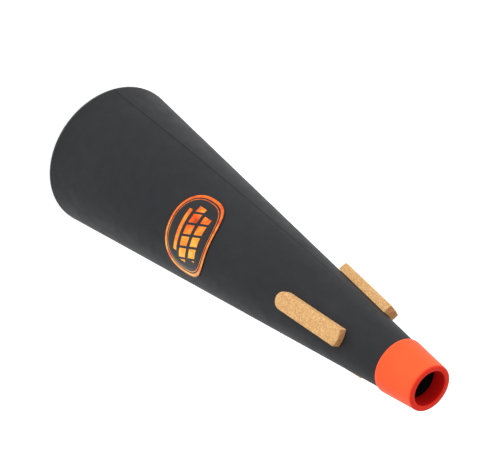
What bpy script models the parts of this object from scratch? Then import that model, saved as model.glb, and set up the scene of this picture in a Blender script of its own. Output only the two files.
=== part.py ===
"""Trombone straight mute.

A slim cone rolled from dark sheet with one lapped seam, closed at the wide
end by a disc, carrying three cork strips, a soft moulded collar on the narrow
end and a printed foil patch on its side.

Metres, +Z up. The mute stands on its wide end: the centre of the disc's
underside is the origin, and +Z runs along the cone towards the narrow end.
"""
import bpy
import bmesh
from math import sin, cos, pi, radians, sqrt, atan2, asin
from mathutils import Vector, Matrix

for ob in list(bpy.data.objects):
    bpy.data.objects.remove(ob, do_unlink=True)

MM = 0.001

# ---------------------------------------------------------------- dimensions
TOTAL_LEN = 320.0        # overall, disc underside to collar front
BASE_R = 49.367          # cone outside radius carried down to z = 0
TAPER = 0.11434          # radius lost per mm of height
WALL = 1.0               # sheet thickness of the cone, radially
SHELL_Z0 = 1.9           # wide end of the sheet
SHELL_Z1 = 309.4         # narrow end of the sheet, inside the collar
GAP = 0.3                # clearance between neighbouring pieces

SEAM_RISE = 0.40         # step of the lapped sheet edge
SEAM_AZ0 = -136.0        # azimuth of the lap edge at z = 20 (deg)
SEAM_SKEW = -0.068       # drift of the lap edge per mm of height (deg)
LAP_SPREAD = 22.0        # the lap sinks back over this angle (deg)

DISC_R = 49.25           # closing disc
DISC_T = 1.6
SPIGOT_H = 3.9
SPIGOT_W = 1.6

CORK_AZ = (-70.5, 169.5, 53.5)   # azimuth of each strip (deg)
CORK_S0 = 215.4          # wide-end tip of a strip, along the slope
CORK_S1 = 266.8          # narrow-end tip of a strip, along the slope
CORK_HALF_W = 5.45
CORK_H = 5.5             # outer face above the cone
CORK_EDGE = 1.0          # eased outer edge
CORK_SAG = 1.5           # bow of the narrow end

COLLAR_Z0 = 292.4        # back lip
COLLAR_FRONT_R = 14.2
COLLAR_BACK_R = 16.95
BORE_R = 10.83
BORE_LEN = 9.8

PATCH_AZ = -71.0         # centre of the foil patch (deg)
PATCH_Z = 132.5
PATCH_HALF_W = 27.5      # around the cone
PATCH_HALF_H = 18.5      # along the cone
PATCH_T = 0.25


def cone_r(z):
    """Outside radius of the plain cone at height z (mm)."""
    return BASE_R - TAPER * z


# ------------------------------------------------------------------ helpers
def material(name, rgb, rough, metal=0.0, coat=0.0):
    m = bpy.data.materials.new(name)
    m.use_nodes = True
    b = m.node_tree.nodes["Principled BSDF"]
    b.inputs["Base Color"].default_value = (rgb[0], rgb[1], rgb[2], 1.0)
    b.inputs["Roughness"].default_value = rough
    b.inputs["Metallic"].default_value = metal
    b.inputs["Coat Weight"].default_value = coat
    m.diffuse_color = (rgb[0], rgb[1], rgb[2], 1.0)
    return m


def to_object(name, bm, mat, smooth_angle=35.0):
    """Finish a bmesh (in mm) as a named object in metres."""
    bmesh.ops.scale(bm, vec=(MM, MM, MM), verts=bm.verts)
    bmesh.ops.recalc_face_normals(bm, faces=bm.faces)
    me = bpy.data.meshes.new(name)
    bm.to_mesh(me)
    bm.free()
    me.materials.append(mat)
    for p in me.polygons:
        p.use_smooth = True
    me.set_sharp_from_angle(angle=radians(smooth_angle))
    ob = bpy.data.objects.new(name, me)
    bpy.context.scene.collection.objects.link(ob)
    return ob


def revolve(bm, profile, steps):
    """Turn a closed (r, z) profile about Z. Points with r = 0 are poles."""
    rings = []
    for r, z in profile:
        if r < 1e-9:
            rings.append([bm.verts.new((0.0, 0.0, z))])
        else:
            rings.append([bm.verts.new((r * cos(2 * pi * i / steps),
                                        r * sin(2 * pi * i / steps), z))
                          for i in range(steps)])
    n = len(rings)
    for k in range(n):
        a, b = rings[k], rings[(k + 1) % n]
        if len(a) == 1 and len(b) == 1:
            continue
        for i in range(steps):
            j = (i + 1) % steps
            if len(a) == 1:
                bm.faces.new((a[0], b[j], b[i]))
            elif len(b) == 1:
                bm.faces.new((a[i], a[j], b[0]))
            else:
                bm.faces.new((a[i], a[j], b[j], b[i]))


def arc(cx, cz, rad, a0, a1, n):
    return [(cx + rad * cos(radians(a0 + (a1 - a0) * i / n)),
             cz + rad * sin(radians(a0 + (a1 - a0) * i / n))) for i in range(n + 1)]


# --------------------------------------------------------------- cone shell
def make_shell(mat):
    """Rolled sheet: round inside, one lapped edge standing proud outside."""
    bm = bmesh.new()
    turn = [0.0, 0.7]
    rest = 118
    turn += [0.7 + (360.0 - 0.7) * i / rest for i in range(1, rest)]

    def lap(offset, z):
        fade = min(1.0, max(0.0, (264.0 - z) / 174.0))
        if offset == 0.0:
            return SEAM_RISE * fade
        back = 360.0 - offset
        if back < LAP_SPREAD:
            return SEAM_RISE * fade * (1.0 - back / LAP_SPREAD)
        return 0.0

    heights = [SHELL_Z0, 45.0, 90.0, 135.0, 180.0, 225.0, 264.0, 286.0, SHELL_Z1]
    outer = []
    for z in heights:
        az = SEAM_AZ0 + SEAM_SKEW * (z - 20.0)
        ring = []
        for t in turn:
            r = cone_r(z) + lap(t, z)
            a = radians(az + t)
            ring.append(bm.verts.new((r * cos(a), r * sin(a), z)))
        outer.append(ring)
    inner = []
    for z in (SHELL_Z0, SHELL_Z1):
        az = SEAM_AZ0 + SEAM_SKEW * (z - 20.0)
        r = cone_r(z) - WALL
        inner.append([bm.verts.new((r * cos(radians(az + t)), r * sin(radians(az + t)), z))
                      for t in turn])
    # the inside follows the same drift, so a middle ring keeps it round
    mid = []
    for z in heights[1:-1:2]:
        az = SEAM_AZ0 + SEAM_SKEW * (z - 20.0)
        r = cone_r(z) - WALL
        mid.append([bm.verts.new((r * cos(radians(az + t)), r * sin(radians(az + t)), z))
                    for t in turn])
    inside = [inner[0]] + mid + [inner[1]]
    n = len(turn)
    for rows in (outer, inside):
        for a, b in zip(rows[:-1], rows[1:]):
            for i in range(n):
                j = (i + 1) % n
                bm.faces.new((a[i], a[j], b[j], b[i]))
    for a, b in ((outer[0], inside[0]), (outer[-1], inside[-1])):
        for i in range(n):
            j = (i + 1) % n
            bm.faces.new((a[i], a[j], b[j], b[i]))
    return to_object("cone_shell", bm, mat)


# -------------------------------------------------------------- bottom disc
def make_disc(mat):
    """Flat closing disc with a low ring that locates inside the cone."""
    r0 = cone_r(SHELL_Z0) - WALL - GAP
    zt = DISC_T + SPIGOT_H
    r1 = cone_r(zt) - WALL - GAP
    e = 0.45
    prof = [(0.0, 0.0)]
    prof += arc(DISC_R - e, e, e, -90.0, 0.0, 4)
    prof += arc(DISC_R - e, DISC_T - e, e, 0.0, 90.0, 4)
    prof += [(r0, DISC_T), (r1, zt - 0.3), (r1 - 0.3, zt),
             (r1 - SPIGOT_W, zt), (r1 - SPIGOT_W, DISC_T), (0.0, DISC_T)]
    bm = bmesh.new()
    revolve(bm, prof, 96)
    return to_object("bottom_disc", bm, mat)


# ------------------------------------------------------------------- collar
def make_collar(mat):
    """Soft cap: laps over the cone, closes in to a short round bore."""
    back, front = COLLAR_Z0, TOTAL_LEN
    seat = front - BORE_LEN
    lip_r = cone_r(back + 0.2) + GAP

    def wall_r(z):
        return COLLAR_BACK_R + (COLLAR_FRONT_R - COLLAR_BACK_R) * (z - 294.6) / (318.8 - 294.6)

    prof = [(lip_r, back + 0.2), (lip_r + 0.12, back), (lip_r + 0.34, back + 0.12),
            (lip_r + 0.58, back + 0.55), (wall_r(294.0) - 0.10, back + 1.2),
            (wall_r(294.9), 294.9), (wall_r(302.0), 302.0), (wall_r(310.0), 310.0),
            (wall_r(318.2), 318.2)]
    c = wall_r(318.6) - 1.2
    prof += arc(c, front - 1.2, 1.2, 8.0, 90.0, 6)
    prof += arc(BORE_R + 0.7, front - 0.7, 0.7, 90.0, 180.0, 5)
    prof += [(BORE_R - 0.02, front - 4.0), (BORE_R - 0.05, seat + 0.35),
             (BORE_R + 0.25, seat), (cone_r(seat) + GAP, seat)]
    bm = bmesh.new()
    revolve(bm, prof, 84)
    return to_object("end_collar", bm, mat)


# -------------------------------------------------------------- cork strips
def slope_frame(az):
    """Axes on the cone at an azimuth: outward, around, up the slope."""
    a = radians(az)
    er = Vector((cos(a), sin(a), 0.0))
    et = Vector((-sin(a), cos(a), 0.0))
    up = Vector((0.0, 0.0, 1.0))
    g = (up - TAPER * er).normalized()
    n = (er + TAPER * up).normalized()
    return er, et, g, n


def strip_outline():
    """Plan of a strip as (s, w): round wide end, gently bowed narrow end."""
    w, s0, s1, sag = CORK_HALF_W, CORK_S0, CORK_S1, CORK_SAG
    pts = [(s0 + w - w * cos(radians(a)), w * sin(radians(a)))
           for a in [-90.0 + 180.0 * i / 16 for i in range(17)]]
    fil = 0.9
    rad = (w * w + sag * sag) / (2.0 * sag)
    end = asin((w - fil) / rad)
    sc = s1 - rad
    # small rounded corners where the bowed end meets the long sides
    corner_s = sc + rad * cos(end)
    pts.append((corner_s - fil, w))
    pts.append((corner_s - 0.35 * fil, w - 0.18 * fil))
    for i in range(11):
        t = end - 2.0 * end * i / 10
        pts.append((sc + rad * cos(t), rad * sin(t)))
    pts.append((corner_s - 0.35 * fil, -(w - 0.18 * fil)))
    pts.append((corner_s - fil, -w))
    return pts


def cone_cutter(name, extra):
    """Plain frustum a little larger than the cone, used to hollow undersides."""
    bm = bmesh.new()
    n = 180
    rows = []
    for z in (150.0, 305.0):
        r = cone_r(z) + extra
        rows.append([bm.verts.new((r * cos(2 * pi * i / n), r * sin(2 * pi * i / n), z))
                     for i in range(n)])
    for i in range(n):
        j = (i + 1) % n
        bm.faces.new((rows[0][i], rows[0][j], rows[1][j], rows[1][i]))
    bm.faces.new(list(reversed(rows[0])))
    bm.faces.new(rows[1])
    bmesh.ops.scale(bm, vec=(MM, MM, MM), verts=bm.verts)
    me = bpy.data.meshes.new(name)
    bm.to_mesh(me)
    bm.free()
    ob = bpy.data.objects.new(name, me)
    bpy.context.scene.collection.objects.link(ob)
    ob.hide_render = True
    ob.display_type = 'WIRE'
    return ob


def make_cork(index, az, mat):
    er, et, g, n = slope_frame(az)
    base = BASE_R * er
    bm = bmesh.new()
    plan = strip_outline()
    low = [bm.verts.new(base + s * g + w * et - 4.0 * n) for s, w in plan]
    top = [bm.verts.new(base + s * g + w * et + CORK_H * n) for s, w in plan]
    k = len(plan)
    for i in range(k):
        j = (i + 1) % k
        bm.faces.new((low[i], low[j], top[j], top[i]))
    bm.faces.new(list(reversed(low)))
    cap = bm.faces.new(top)
    bmesh.ops.recalc_face_normals(bm, faces=bm.faces)
    bmesh.ops.bevel(bm, geom=list(cap.edges), offset=CORK_EDGE, offset_type='OFFSET',
                    segments=3, profile=0.5, affect='EDGES')
    ob = to_object("cork_strip_%d" % index, bm, mat, 40.0)
    cutter = cone_cutter("saddle_cutter_%d" % index, GAP)
    mod = ob.modifiers.new("saddle", 'BOOLEAN')
    mod.operation = 'DIFFERENCE'
    mod.solver = 'EXACT'
    mod.object = cutter
    bpy.context.view_layer.update()
    dg = bpy.context.evaluated_depsgraph_get()
    me = bpy.data.meshes.new_from_object(ob.evaluated_get(dg))
    old = ob.data
    ob.modifiers.clear()
    ob.data = me
    me.name = ob.name
    bpy.data.meshes.remove(old)
    bpy.data.objects.remove(cutter, do_unlink=True)
    return ob


# --------------------------------------------------------------- foil patch
def make_patch(mat):
    """Thin oval patch that follows the cone, a hair above the sheet."""
    bm = bmesh.new()
    n, rings, power = 72, 4, 2.5

    def place(x, y, h):
        z = PATCH_Z + y
        r = cone_r(z) + h
        a = radians(PATCH_AZ) + x / cone_r(z)
        return bm.verts.new((r * cos(a), r * sin(a), z))

    def edge(i):
        t = 2.0 * pi * i / n
        c, s = cos(t), sin(t)
        x = PATCH_HALF_W * (abs(c) ** (2.0 / power)) * (1 if c >= 0 else -1)
        y = PATCH_HALF_H * (abs(s) ** (2.0 / power)) * (1 if s >= 0 else -1)
        return x, y

    sheets = []
    for h in (GAP, GAP + PATCH_T):
        rows = [[place(0.0, 0.0, h)]]
        for k in range(1, rings + 1):
            f = k / rings
            rows.append([place(edge(i)[0] * f, edge(i)[1] * f, h) for i in range(n)])
        for i in range(n):
            j = (i + 1) % n
            bm.faces.new((rows[0][0], rows[1][i], rows[1][j]))
        for a, b in zip(rows[1:-1], rows[2:]):
            for i in range(n):
                j = (i + 1) % n
                bm.faces.new((a[i], b[i], b[j], a[j]))
        sheets.append(rows[-1])
    for i in range(n):
        j = (i + 1) % n
        bm.faces.new((sheets[0][i], sheets[0][j], sheets[1][j], sheets[1][i]))
    return to_object("foil_patch", bm, mat)


# ------------------------------------------------------------------ assembly
sheet = material("sheet_grey", (0.048, 0.050, 0.055), 0.55)
disc_m = material("disc_dark", (0.035, 0.036, 0.040), 0.6)
rubber = material("collar_orange", (0.93, 0.12, 0.035), 0.5)
foil = material("foil_black", (0.012, 0.012, 0.014), 0.12, 0.0, 0.6)

make_shell(sheet)
make_disc(disc_m)
make_collar(rubber)
for i, az in enumerate(CORK_AZ):
    make_cork(i + 1, az, material("cork_%d" % (i + 1), (0.72, 0.46, 0.22), 0.85))
make_patch(foil)
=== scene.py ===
import bpy
from math import radians, pi
from mathutils import Matrix, Vector

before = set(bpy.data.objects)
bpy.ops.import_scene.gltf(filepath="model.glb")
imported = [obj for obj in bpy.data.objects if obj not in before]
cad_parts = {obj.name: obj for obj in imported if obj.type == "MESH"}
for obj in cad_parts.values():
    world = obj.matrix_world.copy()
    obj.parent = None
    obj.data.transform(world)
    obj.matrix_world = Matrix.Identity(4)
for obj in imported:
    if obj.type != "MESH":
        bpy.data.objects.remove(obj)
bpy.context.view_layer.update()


# --------------------------------------------------------------- node helpers
class Net:
    """Small helper that adds and links shader nodes."""

    def __init__(self, name):
        self.mat = bpy.data.materials.new(name)
        self.mat.use_nodes = True
        self.t = self.mat.node_tree
        self.bsdf = self.t.nodes["Principled BSDF"]

    def add(self, kind, **props):
        n = self.t.nodes.new(kind)
        for k, v in props.items():
            setattr(n, k, v)
        return n

    def link(self, a, b):
        self.t.links.new(a, b)

    def val(self, socket, value):
        if hasattr(value, "links"):
            self.link(value, socket)
        else:
            socket.default_value = value

    def math(self, op, a, b=None, c=None, clamp=False):
        n = self.add("ShaderNodeMath", operation=op, use_clamp=clamp)
        self.val(n.inputs[0], a)
        if b is not None:
            self.val(n.inputs[1], b)
        if c is not None:
            self.val(n.inputs[2], c)
        return n.outputs[0]

    def mix(self, fac, a, b, blend="MIX"):
        n = self.add("ShaderNodeMix", data_type="RGBA", blend_type=blend)
        self.val(n.inputs["Factor"], fac)
        ins = [s for s in n.inputs if s.type == "RGBA"]
        self.val(ins[0], a if hasattr(a, "links") else (*a, 1.0))
        self.val(ins[1], b if hasattr(b, "links") else (*b, 1.0))
        return [s for s in n.outputs if s.type == "RGBA"][0]

    def noise(self, vec, scale, detail=2.0, rough=0.5, dist=0.0):
        n = self.add("ShaderNodeTexNoise")
        self.link(vec, n.inputs["Vector"])
        n.inputs["Scale"].default_value = scale
        n.inputs["Detail"].default_value = detail
        n.inputs["Roughness"].default_value = rough
        n.inputs["Distortion"].default_value = dist
        return n.outputs["Fac"]

    def voronoi(self, vec, scale, feature="F1", rand=1.0):
        n = self.add("ShaderNodeTexVoronoi", feature=feature)
        self.link(vec, n.inputs["Vector"])
        n.inputs["Scale"].default_value = scale
        n.inputs["Randomness"].default_value = rand
        return n

    def ramp(self, fac, stops):
        n = self.add("ShaderNodeValToRGB")
        self.link(fac, n.inputs["Fac"])
        els = n.color_ramp.elements
        while len(els) < len(stops):
            els.new(0.5)
        for e, (p, c) in zip(els, stops):
            e.position = p
            e.color = (*c, 1.0) if len(c) == 3 else c
        return n.outputs["Color"]

    def remap(self, v, a, b, c, d):
        n = self.add("ShaderNodeMapRange")
        self.link(v, n.inputs["Value"])
        for i, x in zip(("From Min", "From Max", "To Min", "To Max"), (a, b, c, d)):
            n.inputs[i].default_value = x
        return n.outputs["Result"]

    def coords(self):
        return self.add("ShaderNodeTexCoord").outputs["Object"]

    def bump(self, height, strength, distance, normal=None):
        n = self.add("ShaderNodeBump")
        n.inputs["Strength"].default_value = strength
        n.inputs["Distance"].default_value = distance
        self.link(height, n.inputs["Height"])
        if normal is not None:
            self.link(normal, n.inputs["Normal"])
        return n.outputs["Normal"]


# ------------------------------------------------------------------ materials
def sheet_material():
    m = Net("sheet_grey_satin")
    p = m.coords()
    broad = m.noise(p, 14.0, 3.0, 0.55)
    fine = m.noise(p, 900.0, 3.0, 0.6)
    mid = m.noise(p, 120.0, 4.0, 0.6)
    col = m.mix(m.remap(broad, 0.35, 0.65, 0.0, 1.0), (0.0205, 0.0212, 0.0245), (0.0245, 0.0253, 0.0285))
    col = m.mix(m.remap(mid, 0.3, 0.7, 0.0, 0.35), col, (0.0175, 0.0180, 0.0210))
    col = m.mix(m.remap(fine, 0.62, 0.75, 0.0, 0.25), col, (0.045, 0.046, 0.050))
    m.link(col, m.bsdf.inputs["Base Color"])
    m.link(m.remap(mid, 0.3, 0.7, 0.54, 0.64), m.bsdf.inputs["Roughness"])
    m.bsdf.inputs["Specular IOR Level"].default_value = 0.30
    m.bsdf.inputs["IOR"].default_value = 1.30
    n = m.bump(fine, 0.12, 0.0002)
    n = m.bump(broad, 0.10, 0.002, n)
    m.link(n, m.bsdf.inputs["Normal"])
    return m.mat


def disc_material():
    m = Net("disc_dark_board")
    p = m.coords()
    fine = m.noise(p, 700.0, 3.0, 0.65)
    broad = m.noise(p, 30.0, 3.0, 0.5)
    col = m.mix(m.remap(broad, 0.3, 0.7, 0.0, 1.0), (0.030, 0.031, 0.034), (0.042, 0.043, 0.047))
    m.link(col, m.bsdf.inputs["Base Color"])
    m.link(m.remap(fine, 0.3, 0.7, 0.6, 0.75), m.bsdf.inputs["Roughness"])
    m.link(m.bump(fine, 0.25, 0.0003), m.bsdf.inputs["Normal"])
    return m.mat


def collar_material():
    m = Net("collar_orange_rubber")
    p = m.coords()
    broad = m.noise(p, 45.0, 3.0, 0.5)
    fine = m.noise(p, 1400.0, 3.0, 0.6)
    sep = m.add("ShaderNodeSeparateXYZ")
    m.link(p, sep.inputs[0])
    x, y, z = sep.outputs
    r = m.math("SQRT", m.math("ADD", m.math("MULTIPLY", x, x), m.math("MULTIPLY", y, y)))
    # painted shade: the walls of the bore inside the collar are painted dark red, as shade in the recess
    bore_painted_shade = m.math("MULTIPLY", m.math("LESS_THAN", r, 0.0112), m.math("LESS_THAN", z, 0.3192))
    col = m.mix(m.remap(broad, 0.35, 0.65, 0.0, 1.0), (0.90, 0.098, 0.026), (0.94, 0.112, 0.032))
    col = m.mix(m.remap(fine, 0.6, 0.8, 0.0, 0.2), col, (1.0, 0.16, 0.06))
    # painted shade: the front end face of the collar is painted a darker red, as shade
    front_face_painted_shade = m.remap(z, 0.3182, 0.3197, 0.0, 1.0)
    col = m.mix(front_face_painted_shade, col, (0.76, 0.030, 0.014))
    col = m.mix(bore_painted_shade, col, (0.62, 0.010, 0.008))
    m.link(col, m.bsdf.inputs["Base Color"])
    m.bsdf.inputs["Subsurface Weight"].default_value = 0.06
    m.bsdf.inputs["Subsurface Scale"].default_value = 0.002
    m.link(m.remap(broad, 0.3, 0.7, 0.44, 0.54), m.bsdf.inputs["Roughness"])
    m.bsdf.inputs["Specular IOR Level"].default_value = 0.20
    m.bsdf.inputs["IOR"].default_value = 1.30
    n = m.bump(fine, 0.10, 0.00015)
    n = m.bump(broad, 0.10, 0.0006, n)
    m.link(n, m.bsdf.inputs["Normal"])
    return m.mat


def cork_material(seed):
    m = Net("cork_pressed_%d" % seed)
    p = m.coords()
    off = m.add("ShaderNodeVectorMath", operation="ADD")
    m.link(p, off.inputs[0])
    off.inputs[1].default_value = (0.13 * seed, 0.29 * seed, 0.07 * seed)
    q = off.outputs[0]
    warp = m.noise(q, 500.0, 2.0, 0.5)
    grains = m.voronoi(q, 1700.0)
    cell = grains.outputs["Color"]
    gsep = m.add("ShaderNodeSeparateColor")
    m.link(cell, gsep.inputs[0])
    tone = gsep.outputs[0]
    edge = m.voronoi(q, 1700.0, "DISTANCE_TO_EDGE").outputs["Distance"]
    col = m.ramp(tone, [(0.0, (0.50, 0.260, 0.100)), (0.30, (0.61, 0.345, 0.140)),
                        (0.7, (0.68, 0.405, 0.172)), (1.0, (0.80, 0.540, 0.290))])
    big = m.noise(q, 260.0, 4.0, 0.65)
    col = m.mix(m.remap(big, 0.35, 0.65, 0.0, 0.30), col, (0.62, 0.345, 0.145))
    col = m.mix(m.remap(edge, 0.0, 0.05, 0.35, 0.0), col, (0.42, 0.21, 0.08))
    pits = m.noise(q, 1500.0, 2.0, 0.5)
    col = m.mix(m.remap(pits, 0.62, 0.72, 0.0, 0.65), col, (0.30, 0.14, 0.055))
    # painted shade: the cut end that faces the narrow end of the cone is painted darker and coarser in tone, chosen by
    # its normal
    geo = m.add("ShaderNodeNewGeometry")
    nsep = m.add("ShaderNodeSeparateXYZ")
    m.link(geo.outputs["Normal"], nsep.inputs[0])
    cut = m.remap(nsep.outputs[2], 0.72, 0.90, 0.0, 1.0)
    end_face_painted_shade = m.mix(m.remap(tone, 0.0, 1.0, 0.0, 1.0), (0.44, 0.185, 0.068), (0.66, 0.32, 0.130))
    col = m.mix(m.math("MULTIPLY", cut, 0.8), col, end_face_painted_shade)
    m.link(col, m.bsdf.inputs["Base Color"])
    m.bsdf.inputs["Roughness"].default_value = 0.85
    m.link(m.remap(warp, 0.3, 0.7, 0.78, 0.92), m.bsdf.inputs["Roughness"])
    m.bsdf.inputs["Specular IOR Level"].default_value = 0.12
    m.bsdf.inputs["IOR"].default_value = 1.35
    n = m.bump(edge, 0.25, 0.0004)
    n = m.bump(pits, 0.3, 0.0003, n)
    m.link(n, m.bsdf.inputs["Normal"])
    return m.mat


def patch_material():
    """Glossy black film with generic foil lines: a border and plain bars."""
    m = Net("foil_patch_film")
    p = m.coords()
    sep = m.add("ShaderNodeSeparateXYZ")
    m.link(p, sep.inputs[0])
    x, y, z = sep.outputs
    # unroll the cone: a = around, b = along, both in units of the half size
    az = m.math("ARCTAN2", y, x)
    zr = m.math("MULTIPLY_ADD", z, -0.11434, 0.049367)
    a = m.math("DIVIDE", m.math("MULTIPLY", m.math("SUBTRACT", az, radians(-71.0)), zr), 0.0275)
    b = m.math("DIVIDE", m.math("SUBTRACT", z, 0.1325), 0.0185)
    aa, ab = m.math("ABSOLUTE", a), m.math("ABSOLUTE", b)
    d = m.math("ADD", m.math("POWER", aa, 2.5), m.math("POWER", ab, 2.5))

    def band(v, lo, hi, soft=0.004):
        up = m.remap(v, lo - soft, lo + soft, 0.0, 1.0)
        dn = m.remap(v, hi - soft, hi + soft, 1.0, 0.0)
        return m.math("MULTIPLY", up, dn)

    border = band(d, 0.78, 0.93, 0.006)
    inner = band(d, 0.66, 0.69, 0.005)
    room = m.math("LESS_THAN", d, 0.52)
    bars = None
    for lo, hi, half in ((-0.50, -0.36, 0.50), (-0.22, 0.08, 0.66), (0.22, 0.52, 0.52)):
        one = m.math("MULTIPLY", band(b, lo, hi, 0.012), m.math("LESS_THAN", aa, half))
        bars = one if bars is None else m.math("MAXIMUM", bars, one)
    # the two broad bars are broken into slanted blocks
    cut = m.math("FRACT", m.math("MULTIPLY_ADD", a, 3.6, m.math("MULTIPLY", b, 0.9)))
    cut = m.math("MAXIMUM", m.math("GREATER_THAN", cut, 0.22), m.math("LESS_THAN", b, -0.30))
    foil = m.math("MAXIMUM", m.math("MAXIMUM", border, inner), m.math("MULTIPLY", m.math("MULTIPLY", bars, cut), room))
    # the foil colour is partly its own amber to red-orange tone and partly painted reflection: dark-to-bright runs
    # across the patch and noisy bright and dark patches stand in for reflections on the metal foil; the same noise
    # also drives a small bump
    foil_tint_and_sheen_noise = m.noise(p, 120.0, 3.0, 0.6)
    foil_tone_and_painted_reflection = m.ramp(m.math("ADD", m.math("MULTIPLY", a, 0.30), m.math("ADD", m.math("MULTIPLY", foil_tint_and_sheen_noise, 1.5), -0.20)),
                  [(0.0, (0.22, 0.035, 0.006)), (0.25, (0.80, 0.085, 0.010)), (0.5, (0.98, 0.20, 0.018)), (0.75, (1.0, 0.38, 0.035)), (1.0, (1.0, 0.50, 0.10))])
    # partly painted reflection: the black film's colour is lightened in noisy patches as sheen; the same noise varies
    # its roughness like smudges
    smudge_and_painted_sheen = m.noise(p, 60.0, 4.0, 0.6)
    black = m.mix(m.remap(smudge_and_painted_sheen, 0.35, 0.7, 0.0, 1.0), (0.0015, 0.0015, 0.0018), (0.0060, 0.0060, 0.0066))
    m.link(m.mix(foil, black, foil_tone_and_painted_reflection), m.bsdf.inputs["Base Color"])
    m.link(m.math("MULTIPLY", foil, 0.75), m.bsdf.inputs["Metallic"])
    m.link(m.math("ADD", m.remap(smudge_and_painted_sheen, 0.3, 0.7, 0.10, 0.18), m.math("MULTIPLY", foil, 0.14)), m.bsdf.inputs["Roughness"])
    m.bsdf.inputs["Coat Weight"].default_value = 0.12
    m.bsdf.inputs["Specular IOR Level"].default_value = 0.30
    m.bsdf.inputs["Coat Roughness"].default_value = 0.08
    n = m.bump(foil_tint_and_sheen_noise, 0.06, 0.0006)
    m.link(n, m.bsdf.inputs["Normal"])
    return m.mat


def paint(node, mat):
    ob = bpy.data.objects[node]
    if not ob.material_slots:
        ob.data.materials.append(mat)
    for s in ob.material_slots:
        s.material = mat


paint("cone_shell", sheet_material())
paint("bottom_disc", disc_material())
paint("end_collar", collar_material())
for i in (1, 2, 3):
    paint("cork_strip_%d" % i, cork_material(i))
paint("foil_patch", patch_material())

# ---------------------------------------------------------------------- floor
me = bpy.data.meshes.new("studio_floor")
s = 12.0
me.from_pydata([(-s, -s, 0), (s, -s, 0), (s, s, 0), (-s, s, 0)], [], [(0, 1, 2, 3)])
floor = bpy.data.objects.new("studio_floor", me)
bpy.context.scene.collection.objects.link(floor)
floor.location.z = -0.0002
fm = Net("studio_floor_white")
fn = fm.noise(fm.coords(), 3.0, 2.0)
fm.link(fm.mix(fm.remap(fn, 0.3, 0.7, 0.0, 1.0), (0.95, 0.95, 0.95), (0.96, 0.96, 0.96)), fm.bsdf.inputs["Base Color"])
fm.bsdf.inputs["Roughness"].default_value = 1.0
fm.bsdf.inputs["Specular IOR Level"].default_value = 0.0
fm.bsdf.inputs["Emission Color"].default_value = (1.0, 1.0, 1.0, 1.0)
fm.bsdf.inputs["Emission Strength"].default_value = 0.55
me.materials.append(fm.mat)

# ---------------------------------------------------------------------- light
world = bpy.data.worlds.new("studio")
bpy.context.scene.world = world
world.use_nodes = True
bg = world.node_tree.nodes["Background"]
bg.inputs["Color"].default_value = (1.0, 1.0, 1.0, 1.0)
bg.inputs["Strength"].default_value = 0.75

CAM_POS = Vector((0.0, -0.822641, 0.921735))
RIGHT = Vector((-0.593199, 0.549528, 0.588332))
UP = Vector((-0.804942, -0.417131, -0.421983))
BACK = Vector((0.013520, -0.723893, 0.689780))
MID = Vector((0.0, 0.0, 0.16))


def area(name, offset, size, power, colour=(1.0, 1.0, 1.0)):
    """Soft panel placed by the picture's own right, up and towards-camera."""
    d = bpy.data.lights.new(name, 'AREA')
    d.shape = 'DISK'
    d.size = size
    d.energy = power
    d.color = colour
    o = bpy.data.objects.new(name, d)
    pos = MID + RIGHT * offset[0] + UP * offset[1] + BACK * offset[2]
    o.location = pos
    o.rotation_euler = (MID - pos).to_track_quat('-Z', 'Y').to_euler()
    bpy.context.scene.collection.objects.link(o)
    return o


area("key_top_left", (-0.6, 1.1, 1.2), 0.9, 13.0)
area("rim_right", (1.5, 0.5, 0.25), 0.8, 4.5, (1.0, 0.96, 0.88))

# --------------------------------------------------------------------- camera
cam = bpy.data.cameras.new("photo_view")
cam.sensor_fit = 'HORIZONTAL'
cam.sensor_width = 36.0
cam.lens = 133.9
cam.clip_start = 0.05
cam.clip_end = 60.0
co = bpy.data.objects.new("photo_view", cam)
bpy.context.scene.collection.objects.link(co)
rot = Matrix((RIGHT.normalized(), UP.normalized(), BACK.normalized())).transposed().to_4x4()
co.matrix_world = Matrix.Translation(CAM_POS) @ rot
bpy.context.scene.camera = co
bpy.context.scene.view_settings.view_transform = 'Standard'
bpy.context.scene.view_settings.look = 'None'
bpy.context.scene.view_settings.exposure = 0.0

bpy.context.view_layer.update()
